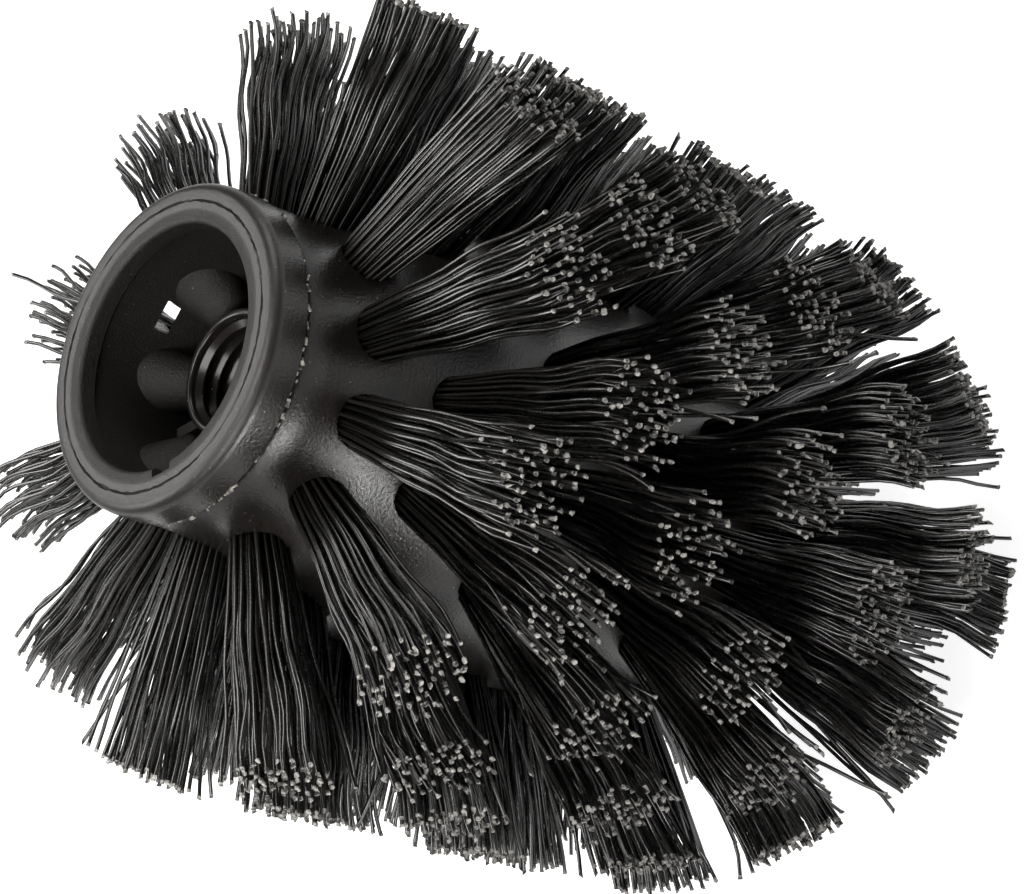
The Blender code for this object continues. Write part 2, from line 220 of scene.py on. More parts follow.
# Plastics. A finish is a roughness and a specular level. A scale counts a pattern's waves in 1 mm.
PLASTIC_IOR = 1.49
MOULDED_FINISH = (0.42, 0.5)
FILAMENT_FINISH = (0.3, 0.85)
TORN_FINISH = (0.5, 0.5)
MOTTLE_SCALE = 0.22
GRAIN_SCALE = 3.8
GRAIN_DEPTH = 0.14 * MM
SATIN_GRAIN = 0.16
PIT_SCALE = 3.2
PIT_DEPTH = 0.032 * MM
SPECK_SCALE = 1.3
SPECK_REACH = (0.05, 0.13)
SPECK_GRAIN = (0.5, 0.6)
SATIN_ROUGHNESS = (0.14, 0.34)
BORE_ROUGHNESS = 0.2
HOLLOW_ROUGHNESS = 0.46
RIM_ROUGHNESS = 0.42
SATIN_GLOSS = 0.32
MATT_GLOSS = 0.48
DRAWN_SCALE = 0.7
STRAND_ROUGHNESS = (0.18, 0.34)
STRAND_GLOSS = (0.15, 0.9)
# Rise over which a strand's gloss comes in: below it, painted shade at the strand's foot
ROOT_SHADE_RISE = (0.08, 0.42)
WHITENED_SCALE = 1.4
WHITENED_RANGE = (0.4, 0.62)
# Pale patches on the trimmed ends: partly bruising, partly a painted glint off the flat cuts
BRUISE_AND_GLINT_SCALE = 1.5
BRUISE_AND_GLINT_RANGE = (0.42, 0.65)

# Camera and stage
CAMERA_AIM = (22.2 * MM, 2.9 * MM, -27.2 * MM)
CAMERA_DISTANCE = 448.0 * MM
CAMERA_ELEVATION = 39.67
CAMERA_ROLL = -69.2
CAMERA_LENS = 163.2
CAMERA_SENSOR = 36.0
CAMERA_CLIP = 10.0 * MM
LAMP_COLOUR = (1.0, 0.985, 0.97)
BOX_DISTANCE = 0.4
BOX_SIZE = (0.17, 0.17)
BOX_SPREAD = 180.0
LOW_DISTANCE = 0.29
LOW_AIM = (13.0 * MM, -7.0 * MM, -9.0 * MM)
LOW_SPREAD = 32.0
LOW_SIZE = (0.13, 0.1)
SURROUND_STRENGTH = 0.02
FLOOR_SIZE = 12.0
FLOOR_GAP = 0.3 * MM
FLOOR_ROUGHNESS = 0.9
FLOOR_LIFT = 0.9

# One row for each soft box: name, azimuth and elevation in degrees, distance, size, power in watts,
# the point it faces, and its spread in degrees
SOFT_BOXES = (
    ("front_box", 315.0, 42.0, BOX_DISTANCE, BOX_SIZE, 1.25, CAMERA_AIM, BOX_SPREAD),
    ("left_box", 225.0, 42.0, BOX_DISTANCE, BOX_SIZE, 0.85, CAMERA_AIM, BOX_SPREAD),
    ("back_box", 180.0, 42.0, BOX_DISTANCE, BOX_SIZE, 0.62, CAMERA_AIM, BOX_SPREAD),
    ("top_box", 98.0, 30.0, BOX_DISTANCE, BOX_SIZE, 0.66, CAMERA_AIM, BOX_SPREAD),
    ("high_box", 0.0, 85.0, BOX_DISTANCE, BOX_SIZE, 1.12, CAMERA_AIM, BOX_SPREAD),
    ("low_box", -31.0, -20.0, LOW_DISTANCE, LOW_SIZE, 0.08, LOW_AIM, LOW_SPREAD),
)


def clear_scene():
    """Remove what the opened scene holds."""
    for item in list(bpy.data.objects):
        bpy.data.objects.remove(item, do_unlink=True)


def linear(code):
    """Turn an sRGB hex colour into linear red, green, blue and alpha."""
    channels = [int(code[place : place + 2], 16) / 255.0 for place in (1, 3, 5)]
    low = [channel / 12.92 for channel in channels]
    high = [((channel + 0.055) / 1.055) ** 2.4 for channel in channels]
    return (*[l if c <= 0.04045 else h for c, l, h in zip(channels, low, high)], 1.0)


def add_node(tree, kind, settings=None, values=None, links=None):
    """Add a node with its settings, the values of its inputs and the sockets linked to them."""
    node = tree.nodes.new(kind)
    for name, value in (settings or {}).items():
        setattr(node, name, value)
    for name, value in (values or {}).items():
        node.inputs[name].default_value = value
    for name, source in (links or {}).items():
        tree.links.new(source, node.inputs[name])
    return node


def new_material(name, finish):
    """Return a new plastic: material, tree, shader, and Object coordinates in millimetres.

    The finish is a roughness and a specular level, which stand where the export drops a link.
    """
    roughness, specular = finish
    material = bpy.data.materials.new(name)
    material.use_nodes = True
    tree = material.node_tree
    shader = tree.nodes["Principled BSDF"]
    shader.inputs["Metallic"].default_value = 0.0
    shader.inputs["Roughness"].default_value = roughness
    shader.inputs["IOR"].default_value = PLASTIC_IOR
    shader.inputs["Specular IOR Level"].default_value = specular
    place = add_node(tree, "ShaderNodeTexCoord")
    points = add_node(
        tree,
        "ShaderNodeMapping",
        values={"Scale": (1.0 / MM, 1.0 / MM, 1.0 / MM)},
        links={"Vector": place.outputs["Object"]},
    )
    return material, tree, shader, points.outputs["Vector"]


def moulded_polypropylene():
    """Injection-moulded black polypropylene: satin from a spark-eroded mould, with bright specks.

    The mould's grain and pits break up the sheen. The core pin that made the socket's bore was
    polished, so there the plastic is smooth and glossy. The rim and the hollow round the socket came
    from matt parts of the mould, where the light spreads into a dull grey.
    """
    material, tree, shader, points = new_material("moulded_polypropylene", MOULDED_FINISH)

    # Black with a slightly browner, paler mottle a few millimetres wide
    mottle = add_node(
        tree,
        "ShaderNodeTexNoise",
        values={"Scale": MOTTLE_SCALE, "Detail": 4.0, "Roughness": 0.6},
        links={"Vector": points},
    )
    base = add_node(
        tree,
        "ShaderNodeMix",
        settings={"data_type": "RGBA"},
        values={"A": linear("#12100f"), "B": linear("#1f1c1a")},
        links={"Factor": mottle.outputs["Fac"]},
    )

    # The spark-eroded grain is about 0.05 mm wide, and drawn five times as coarse, so that it shows
    grain = add_node(
        tree,
        "ShaderNodeTexNoise",
        values={"Scale": GRAIN_SCALE, "Detail": 4.0, "Roughness": 0.8},
        links={"Vector": points},
    )

    # Specks of pale dust about 0.2 mm wide, in some of the cells only
    cells = add_node(
        tree,
        "ShaderNodeTexVoronoi",
        values={"Scale": SPECK_SCALE, "Randomness": 1.0},
        links={"Vector": points},
    )
    near = add_node(
        tree,
        "ShaderNodeMapRange",
        values={
            "From Min": SPECK_REACH[0],
            "From Max": SPECK_REACH[1],
            "To Min": 1.0,
            "To Max": 0.0,
        },
        links={"Value": cells.outputs["Distance"]},
    )
    few = add_node(
        tree,
        "ShaderNodeMapRange",
        values={"From Min": SPECK_GRAIN[0], "From Max": SPECK_GRAIN[1]},
        links={"Value": grain.outputs["Fac"]},
    )
    specks = add_node(
        tree,
        "ShaderNodeMath",
        settings={"operation": "MULTIPLY"},
        links={0: near.outputs["Result"], 1: few.outputs["Result"]},
    )
    dusty = add_node(
        tree,
        "ShaderNodeMix",
        settings={"data_type": "RGBA"},
        values={"B": linear("#8d8a85")},
        links={"Factor": specks.outputs["Value"], "A": base.outputs["Result"]},
    )
    tree.links.new(dusty.outputs["Result"], shader.inputs["Base Color"])

    # Where the finishes lie: past the socket tube, in the hollow round it, and on the rim
    flat = add_node(
        tree,
        "ShaderNodeVectorMath",
        settings={"operation": "MULTIPLY"},
        values={1: (1.0, 1.0, 0.0)},
        links={0: points},
    )
    radius = add_node(
        tree,
        "ShaderNodeVectorMath",
        settings={"operation": "LENGTH"},
        links={0: flat.outputs["Vector"]},
    )
    outside = add_node(
        tree,
        "ShaderNodeMapRange",
        values={"From Min": TUBE_RADIUS / MM, "From Max": (TUBE_RADIUS + TUBE_ROUND) / MM},
        links={"Value": radius.outputs["Value"]},
    )
    inside = add_node(
        tree,
        "ShaderNodeMapRange",
        values={
            "From Min": (CAVITY_RADIUS + LIP_ROUND) / MM,
            "From Max": (CAVITY_RADIUS + 2.0 * LIP_ROUND) / MM,
            "To Min": 1.0,
            "To Max": 0.0,
        },
        links={"Value": radius.outputs["Value"]},
    )
    hollow = add_node(
        tree,
        "ShaderNodeMath",
        settings={"operation": "MULTIPLY"},
        links={0: outside.outputs["Result"], 1: inside.outputs["Result"]},
    )
    height = add_node(tree, "ShaderNodeSeparateXYZ", links={"Vector": points})
    rim = add_node(
        tree,
        "ShaderNodeMapRange",
        values={"From Min": -RIM_ROUND / MM, "From Max": -LIP_ROUND / MM},
        links={"Value": height.outputs["Z"]},
    )
    matt = add_node(
        tree,
        "ShaderNodeMath",
        settings={"operation": "MAXIMUM"},
        links={0: rim.outputs["Result"], 1: hollow.outputs["Value"]},
    )

    # Satin outside, polished in the tube, matt in the hollow and on the rim
    satin = add_node(
        tree,
        "ShaderNodeMapRange",
        values={"To Min": SATIN_ROUGHNESS[0], "To Max": SATIN_ROUGHNESS[1]},
        links={"Value": grain.outputs["Fac"]},
    )
    polished = add_node(
        tree,
        "ShaderNodeMix",
        values={"A": BORE_ROUGHNESS},
        links={"Factor": outside.outputs["Result"], "B": satin.outputs["Result"]},
    )
    sheltered = add_node(
        tree,
        "ShaderNodeMix",
        values={"B": HOLLOW_ROUGHNESS},
        links={"Factor": hollow.outputs["Value"], "A": polished.outputs["Result"]},
    )
    rough = add_node(
        tree,
        "ShaderNodeMix",
        values={"B": RIM_ROUGHNESS},
        links={"Factor": rim.outputs["Result"], "A": sheltered.outputs["Result"]},
    )
    tree.links.new(rough.outputs["Result"], shader.inputs["Roughness"])
    gloss = add_node(
        tree,
        "ShaderNodeMapRange",
        values={"To Min": SATIN_GLOSS, "To Max": MATT_GLOSS},
        links={"Value": matt.outputs["Value"]},
    )
    tree.links.new(gloss.outputs["Result"], shader.inputs["Specular IOR Level"])

    # Shallow pits about 0.1 mm wide, drawn three times as coarse, so that they show
    pits = add_node(
        tree,
        "ShaderNodeTexNoise",
        values={"Scale": PIT_SCALE, "Detail": 1.0, "Roughness": 0.5},
        links={"Vector": points},
    )
    pitted = add_node(
        tree,
        "ShaderNodeBump",
        values={"Distance": PIT_DEPTH},
        links={"Height": pits.outputs["Fac"], "Strength": outside.outputs["Result"]},
    )
    coarse = add_node(
        tree,
        "ShaderNodeMapRange",
        values={"To Min": SATIN_GRAIN, "To Max": 1.0},
        links={"Value": hollow.outputs["Value"]},
    )
    strength = add_node(
        tree,
        "ShaderNodeMath",
        settings={"operation": "MULTIPLY"},
        links={0: outside.outputs["Result"], 1: coarse.outputs["Result"]},
    )
    bump = add_node(
        tree,
        "ShaderNodeBump",
        values={"Distance": GRAIN_DEPTH},
        links={
            "Height": grain.outputs["Fac"],
            "Strength": strength.outputs["Value"],
            "Normal": pitted.outputs["Normal"],
        },
    )
    tree.links.new(bump.outputs["Normal"], shader.inputs["Normal"])
    return material


def extruded_filament():
    """Extruded black polypropylene filament: smooth and glossy, each strand a shade apart.

    Gloss is turned down at each strand's foot, painted shade where the strands crowd the hole.
    """
    material, tree, shader, points = new_material("extruded_filament", FILAMENT_FINISH)
    strand = add_node(tree, "ShaderNodeAttribute", settings={"attribute_name": "strand"})
    base = add_node(
        tree,
        "ShaderNodeMix",
        settings={"data_type": "RGBA"},
        values={"A": linear("#080807"), "B": linear("#1d1b19")},
        links={"Factor": strand.outputs["Fac"]},
    )
    tree.links.new(base.outputs["Result"], shader.inputs["Base Color"])
    drawn = add_node(
        tree,
        "ShaderNodeTexNoise",
        values={"Scale": DRAWN_SCALE, "Detail": 2.0},
        links={"Vector": points},
    )
    rough = add_node(
        tree,
        "ShaderNodeMapRange",
        values={"To Min": STRAND_ROUGHNESS[0], "To Max": STRAND_ROUGHNESS[1]},
        links={"Value": drawn.outputs["Fac"]},
    )
    tree.links.new(rough.outputs["Result"], shader.inputs["Roughness"])
    # Painted shade: the gloss is turned down near the hole, where the strands shade each other
    rise = add_node(tree, "ShaderNodeAttribute", settings={"attribute_name": "rise"})
    gloss = add_node(
        tree,
        "ShaderNodeMapRange",
        values={
            "From Min": ROOT_SHADE_RISE[0],
            "From Max": ROOT_SHADE_RISE[1],
            "To Min": STRAND_GLOSS[0],
            "To Max": STRAND_GLOSS[1],
        },
        links={"Value": rise.outputs["Fac"]},
    )
    tree.links.new(gloss.outputs["Result"], shader.inputs["Specular IOR Level"])
    return material


def torn_polypropylene():
    """Flash torn at the mould's parting line: the same plastic, stretched until it turned pale."""
    material, tree, shader, points = new_material("torn_polypropylene", TORN_FINISH)
    whitened = add_node(
        tree,
        "ShaderNodeTexNoise",
        values={"Scale": WHITENED_SCALE, "Detail": 3.0, "Roughness": 0.7},
        links={"Vector": points},
    )
    amount = add_node(
        tree,
        "ShaderNodeMapRange",
        values={"From Min": WHITENED_RANGE[0], "From Max": WHITENED_RANGE[1]},
        links={"Value": whitened.outputs["Fac"]},
    )
    base = add_node(
        tree,
        "ShaderNodeMix",
        settings={"data_type": "RGBA"},
        values={"A": linear("#1f1d1b"), "B": linear("#a19d95")},
        links={"Factor": amount.outputs["Result"]},
    )
    tree.links.new(base.outputs["Result"], shader.inputs["Base Color"])
    return material


def cut_filament_end():
    """Trimmed ends: pale grey in patches, part bruising from the shears and part painted glint."""
    material, tree, shader, points = new_material("cut_filament_end", TORN_FINISH)
    torn = add_node(
        tree,
        "ShaderNodeTexNoise",
        values={"Scale": BRUISE_AND_GLINT_SCALE, "Detail": 2.0, "Roughness": 0.6},
        links={"Vector": points},
    )
    patchy = add_node(
        tree,
        "ShaderNodeMapRange",
        values={"From Min": BRUISE_AND_GLINT_RANGE[0], "From Max": BRUISE_AND_GLINT_RANGE[1]},
        links={"Value": torn.outputs["Fac"]},
    )
    base = add_node(
        tree,
        "ShaderNodeMix",
        settings={"data_type": "RGBA"},
        values={"A": linear("#0f0e0e"), "B": linear("#a6a49f")},
        links={"Factor": patchy.outputs["Result"]},
    )
    tree.links.new(base.outputs["Result"], shader.inputs["Base Color"])
    return material


def matt_white_floor():
    """Matt white studio floor, lifted to paper white where the camera or a reflection sees it."""
    material = bpy.data.materials.new("matt_white_floor")
    material.use_nodes = True
    tree = material.node_tree
    shader = tree.nodes["Principled BSDF"]
    shader.inputs["Base Color"].default_value = linear("#d2d2d2")
    shader.inputs["Roughness"].default_value = FLOOR_ROUGHNESS
    path = add_node(tree, "ShaderNodeLightPath")
    seen = path.outputs["Is Camera Ray"]
    for ray in ("Is Glossy Ray", "Is Transmission Ray"):
        either = add_node(
            tree,
            "ShaderNodeMath",
            settings={"operation": "MAXIMUM"},
            links={0: seen, 1: path.outputs[ray]},
        )
        seen = either.outputs["Value"]
    lift = add_node(
        tree,
        "ShaderNodeMath",
        settings={"operation": "MULTIPLY"},
        values={1: FLOOR_LIFT},
        links={0: seen},
    )
    glow = add_node(tree, "ShaderNodeEmission", links={"Strength": lift.outputs["Value"]})
    both = add_node(
        tree,
        "ShaderNodeAddShader",
        links={0: shader.outputs["BSDF"], 1: glow.outputs["Emission"]},
    )
    tree.links.new(both.outputs["Shader"], tree.nodes["Material Output"].inputs["Surface"])
    return material


def add_piece(name, shape, materials):
    """Write a bmesh into a new object at the origin, with its materials, and free the bmesh."""
    mesh = bpy.data.meshes.new(name)
    shape.to_mesh(mesh)
    shape.free()
    for material in materials:
        mesh.materials.append(material)
    piece = bpy.data.objects.new(name, mesh)
    bpy.context.scene.collection.objects.link(piece)
    return piece


def round_off(piece):
    """Shade a piece smooth and keep its edges sharp."""
    piece.data.shade_smooth()
    piece.data.set_sharp_from_angle(angle=math.radians(SMOOTH_ANGLE))


def body_radius(depth):
    """Return the body's outer radius at a depth below the rim, past the collar."""
    if depth <= DOME_START:
        travel = min(max((depth - FLARE_START) / FLARE_LENGTH, 0.0), 1.0)
        ease = (1.0 - math.cos(math.pi * travel)) / 2.0
        return NECK_RADIUS + (BELLY_RADIUS - NECK_RADIUS) * ease
    return dome_radius(depth, BELLY_RADIUS, BODY_LENGTH)


def dome_radius(depth, radius, end):
    """Return the radius of a rounded end that starts at DOME_START and closes at a depth."""
    travel = min((depth - DOME_START) / (end - DOME_START), 1.0)
    return radius * (1.0 - travel**DOME_POWER) ** (1.0 / DOME_POWER)


def depth_at_radius(radius):
    """Return the depth at which the dome narrows to a radius."""
    travel = (1.0 - (radius / BELLY_RADIUS) ** DOME_POWER) ** (1.0 / DOME_POWER)
    return DOME_START + (BODY_LENGTH - DOME_START) * travel


def arc(centre_radius, centre_height, width, height, start, end):
    """Return points of a quarter round, from one angle to another, in degrees from straight out."""
    points = []
    for step in range(ARC_POINTS + 1):
        angle = math.radians(start + (end - start) * step / ARC_POINTS)
        radius = centre_radius + width * math.cos(angle)
        points.append((radius, centre_height + height * math.sin(angle)))
    return points


def outer_profile():
    """Return the outside, from the end of the dome up to the rim's witness line."""
    points = [(0.0, -BODY_LENGTH)]
    for step in range(1, PROFILE_POINTS):
        angle = math.pi / 2.0 * (1.0 - step / PROFILE_POINTS)
        depth = DOME_START + (BODY_LENGTH - DOME_START) * math.sin(angle)
        points.append((dome_radius(depth, BELLY_RADIUS, BODY_LENGTH), -depth))
    for step in range(PROFILE_POINTS + 1):
        depth = DOME_START + (FLARE_START - DOME_START) * step / PROFILE_POINTS
        points.append((body_radius(depth), -depth))
    points.append((NECK_RADIUS, -COLLAR_LENGTH - GROOVE_WIDTH))
    points.append((NECK_RADIUS - GROOVE_DEPTH, -COLLAR_LENGTH - GROOVE_WIDTH / 2.0))
    points.append((COLLAR_RADIUS, -COLLAR_LENGTH))
    width = COLLAR_RADIUS - RIM_FLAT_RADIUS
    points += arc(RIM_FLAT_RADIUS, -RIM_ROUND, width, RIM_ROUND, 0.0, 90.0)
    return points


def rim_profile():
    """Return the flat of the rim with its witness line, and the rounded lip down into the mouth."""
    points = [(WITNESS_RADIUS + WITNESS_WIDTH / 2.0, 0.0), (WITNESS_RADIUS, -WITNESS_DEPTH)]
    points.append((WITNESS_RADIUS - WITNESS_WIDTH / 2.0, 0.0))
    points += arc(MOUTH_RADIUS + LIP_ROUND, -LIP_ROUND, LIP_ROUND, LIP_ROUND, 90.0, 180.0)
    points.append((MOUTH_RADIUS, -LIP_DEPTH))
    points.append((CAVITY_RADIUS, -LIP_DEPTH - LIP_ROUND))
    return points


def cavity_profile():
    """Return the hollow from below the lip to its floor."""
    points = []
    steps = PROFILE_POINTS // 2
    for step in range(steps + 1):
        depth = CAVITY_START + (DOME_START - CAVITY_START) * step / steps
        points.append((max(body_radius(depth) - WALL, CAVITY_RADIUS), -depth))
    floor = BODY_LENGTH - END_WALL
    for step in range(1, PROFILE_POINTS):
        depth = DOME_START + (floor - DOME_START) * math.sin(math.pi / 2.0 * step / PROFILE_POINTS)
        radius = dome_radius(depth, BELLY_RADIUS - WALL, floor)
        if radius > TUBE_RADIUS + TUBE_GAP:
            points.append((radius, -depth))
    points.append((TUBE_RADIUS, points[-1][1]))
    return points


def tube_profile():
    """Return the socket tube, from its foot over its rounded top to the floor of its bore."""
    height = -TUBE_DEPTH - TUBE_ROUND
    points = arc(TUBE_RADIUS - TUBE_ROUND, height, TUBE_ROUND, TUBE_ROUND, 0.0, 90.0)
    points += arc(BORE_RADIUS + TUBE_ROUND, height, TUBE_ROUND, TUBE_ROUND, 90.0, 180.0)
    points.append((BORE_RADIUS, -TUBE_DEPTH - BORE_LENGTH))
    points.append((0.0, -TUBE_DEPTH - BORE_LENGTH))
    return points


def spin_profile(points, steps):
    """Return a bmesh turned once round Z from a profile of radii and heights."""
    shape = bmesh.new()
    corners = [shape.verts.new((radius, 0.0, height)) for radius, height in points]
    for near, far in zip(corners, corners[1:]):
        shape.edges.new((near, far))
    bmesh.ops.spin(
        shape,
        geom=shape.verts[:] + shape.edges[:],
        axis=(0.0, 0.0, 1.0),
        cent=(0.0, 0.0, 0.0),
        angle=math.tau,
        steps=steps,
        use_merge=True,
    )
    bmesh.ops.remove_doubles(shape, verts=shape.verts[:], dist=MERGE_DISTANCE)
    bmesh.ops.recalc_face_normals(shape, faces=shape.faces[:])
    return shape


def turned(angle):
    """Return a turn round Z by an angle in degrees."""
    return Matrix.Rotation(math.radians(angle), 4, "Z")


def add_box(shape, size, centre, angle, tilt=0.0):
    """Add a box of a size to a bmesh, tilted down outwards, its centre turned round Z."""
    tip = Matrix.Rotation(math.radians(tilt), 4, "Y")
    place = turned(angle) @ Matrix.Translation(centre) @ tip @ Matrix.Diagonal((*size, 1.0))
    bmesh.ops.create_cube(shape, size=1.0, matrix=place)


def tuft_place(radius, height, lean, angle):
    """Return where a tuft stands: at a radius and height, leaning down and turned round Z."""
    tilt = Matrix.Rotation(math.radians(90.0 + lean), 4, "Y")
    return turned(angle) @ Matrix.Translation((radius, 0.0, height)) @ tilt


def ring_places(number):
    """Return the places of one ring's tufts, in order round the body."""
    share, _ = RING_SHARES[number]
    depth = BODY_LENGTH * share
    pitch = 360.0 / RING_COUNTS[number]
    angles = [pitch * (RING_TURN_SHARES[number] + step) for step in range(RING_COUNTS[number])]
    return [tuft_place(body_radius(depth), -depth, RING_LEANS[number], angle) for angle in angles]


def end_places():
    """Return the places of the tufts at the rounded end."""
    height = -depth_at_radius(END_TUFT_REACH)
    angles = [360.0 / END_TUFT_COUNT * step for step in range(END_TUFT_COUNT)]
    return [tuft_place(END_TUFT_REACH, height, END_TUFT_LEAN, angle) for angle in angles]


def make_cutter():
    """Return a hidden object that cuts the tuft holes, the notch in the lip and the drain slot."""
    shape = bmesh.new()
    for places in [ring_places(number) for number in range(len(RING_SHARES))] + [end_places()]:
        for place in places:
            bmesh.ops.create_cone(
                shape,
                cap_ends=True,
                segments=DETAIL_STEPS,
                radius1=HOLE_RADIUS,
                radius2=HOLE_RADIUS,
                depth=HOLE_DEPTH * 2.0,
                matrix=place,
            )
    size = (NOTCH_REACH + OVERRUN, NOTCH_WIDTH, NOTCH_DEPTH + OVERRUN)
    centre = (MOUTH_RADIUS + (NOTCH_REACH - OVERRUN) / 2.0, 0.0, (OVERRUN - NOTCH_DEPTH) / 2.0)
    add_box(shape, size, centre, NOTCH_ANGLE)
    wall = NECK_RADIUS - CAVITY_RADIUS
    slope = math.radians(SLOT_TILT)
    centre_height = -SLOT_DEPTH - (SLOT_HEIGHT + wall * math.tan(slope)) / 2.0
    centre = ((NECK_RADIUS + CAVITY_RADIUS) / 2.0, 0.0, centre_height)
    size = (wall / math.cos(slope) + 2.0 * OVERRUN, SLOT_WIDTH, SLOT_HEIGHT * math.cos(slope))
    add_box(shape, size, centre, SLOT_ANGLE, SLOT_TILT)
    bmesh.ops.recalc_face_normals(shape, faces=shape.faces[:])
    return add_piece("cutter", shape, [])


def make_body(plastic):
    """Make the moulded body, turned from one closed profile and then cut."""
    points = outer_profile() + rim_profile() + cavity_profile() + tube_profile()
    shape = spin_profile(points, ROUND_STEPS)
    chance = random.Random(f"{SEED} witness")
    for corner in sorted(shape.verts, key=lambda vert: math.atan2(vert.co.y, vert.co.x)):
        beside = abs(corner.co.xy.length - WITNESS_RADIUS) < WITNESS_WIDTH
        if beside and corner.co.z > -COLLAR_LENGTH:
            corner.co.xy *= 1.0 + chance.uniform(-1.0, 1.0) * WITNESS_WANDER / WITNESS_RADIUS
    body = add_piece("moulded_body", shape, [plastic])
    cutter = make_cutter()
    cut = body.modifiers.new("cut", "BOOLEAN")
    cut.operation = "DIFFERENCE"
    cut.solver = "EXACT"
    cut.use_self = True
    cut.object = cutter
    finished = body.evaluated_get(bpy.context.evaluated_depsgraph_get())
    mesh = bpy.data.meshes.new_from_object(finished)
    body.modifiers.clear()
    body.data = mesh
    bpy.data.objects.remove(cutter)
    round_off(body)
    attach(body, "root")
    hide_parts("brush_head_body")


def make_flash(torn):
    """Make the torn flash in the collar's groove: small flat scraps, broken up all round."""
    chance = random.Random(f"{SEED} flash")
    shape = bmesh.new()
    for place in range(FLASH_PLACES):
        bunch = 1.0 + math.sin(math.tau * FLASH_BUNCHES * place / FLASH_PLACES)
        if chance.random() > FLASH_SHARE * bunch:
            continue
        size = [length * chance.uniform(*FLASH_SIZE_RANGE) for length in FLASH_SIZE]
        height = -COLLAR_LENGTH - chance.uniform(0.0, FLASH_DROP) * GROOVE_WIDTH
        centre = (COLLAR_RADIUS - GROOVE_DEPTH + size[0] * FLASH_REACH, 0.0, height)
        angle = 360.0 / FLASH_PLACES * (place + chance.uniform(-FLASH_WANDER, FLASH_WANDER))
        roll = Matrix.Rotation(chance.gauss(0.0, FLASH_ROLL), 4, "X")
        tip = roll @ Matrix.Rotation(chance.gauss(0.0, FLASH_TIP), 4, "Y")
        matrix = turned(angle) @ Matrix.Translation(centre) @ tip @ Matrix.Diagonal((*size, 1.0))
        bmesh.ops.create_cube(shape, size=1.0, matrix=matrix)
    flash = add_piece("collar_flash", shape, [torn])
    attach(flash, "root")


def make_petals(plastic):
    """Make the rounded petals round the socket, which lead the handle in from the neck's wall."""
    shape = bmesh.new()
    outer = (NECK_RADIUS + CAVITY_RADIUS) / 2.0
    run = outer - CAVITY_RADIUS + PETAL_REACH
    drop = run * math.tan(math.radians(PETAL_TILT))
    for step in range(PETAL_COUNT):
        made = bmesh.ops.create_cone(
            shape,
            cap_ends=True,
            segments=DETAIL_STEPS * 2,
            radius1=PETAL_RADIUS * PETAL_TIP_SHARE,
            radius2=PETAL_RADIUS,
            depth=run / math.cos(math.radians(PETAL_TILT)),
            matrix=turned(PETAL_ANGLE + 360.0 / PETAL_COUNT * step)
            @ Matrix.Translation((outer - run / 2.0, 0.0, -PETAL_TOP - PETAL_RADIUS - drop / 2.0))
            @ Matrix.Rotation(math.radians(90.0 - PETAL_TILT), 4, "Y"),
        )
        faces = {face for corner in made["verts"] for face in corner.link_faces}
        caps = [face for face in faces if len(face.verts) > 4]
        front = min(caps, key=lambda face: face.calc_center_median().length)
        bmesh.ops.bevel(
            shape,
            geom=front.edges[:],
            offset=PETAL_ROUND,
            segments=PETAL_ROUND_STEPS,
            profile=0.5,
            affect="EDGES",
            material=-1,
        )
    bmesh.ops.recalc_face_normals(shape, faces=shape.faces[:])
    petals = add_piece("socket_petals", shape, [plastic])
    round_off(petals)
    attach(petals, "root")


def make_ribs(plastic):
    """Make the four ribs between the socket tube and the wall."""
    height = DOME_START - RIB_DEPTH
    reach = CAVITY_RADIUS + OVERRUN - TUBE_RADIUS
    shape = bmesh.new()
    for step in range(RIB_COUNT):
        centre = (TUBE_RADIUS + reach / 2.0 - OVERRUN / 2.0, 0.0, -RIB_DEPTH - height / 2.0)
        angle = RIB_ANGLE + 360.0 / RIB_COUNT * step
        add_box(shape, (reach, RIB_THICKNESS, height), centre, angle)
    bmesh.ops.bevel(
        shape,
        geom=shape.edges[:],
        offset=TUBE_ROUND / 2.0,
        segments=RIB_ROUND_STEPS,
        profile=0.5,
        affect="EDGES",
        material=-1,
    )
    ribs = add_piece("socket_ribs", shape, [plastic])
    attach(ribs, "root")


def make_thread(plastic):
    """Make the socket's female thread, a ridge wound up the bore."""
    turns = int(BORE_LENGTH / THREAD_PITCH) - 1
    shape = bmesh.new()
    foot = -TUBE_DEPTH - BORE_LENGTH + THREAD_PITCH
    root = BORE_RADIUS + TUBE_ROUND
    radii = (root, THREAD_CREST_RADIUS, THREAD_CREST_RADIUS, root)
    heights = [foot + THREAD_PITCH * share for share in THREAD_SHARES]
    corners = [shape.verts.new((radius, 0.0, height)) for radius, height in zip(radii, heights)]
    face = shape.faces.new(corners)
    steps = turns * DETAIL_STEPS * 2
    bmesh.ops.spin(
        shape,
        geom=[face],
        axis=(0.0, 0.0, 1.0),
        cent=(0.0, 0.0, 0.0),
        dvec=(0.0, 0.0, THREAD_PITCH * turns / steps),
        angle=math.tau * turns,
        steps=steps,
    )
    bmesh.ops.recalc_face_normals(shape, faces=shape.faces[:])
    thread = add_piece("socket_thread", shape, [plastic])
    round_off(thread)
    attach(thread, "root")


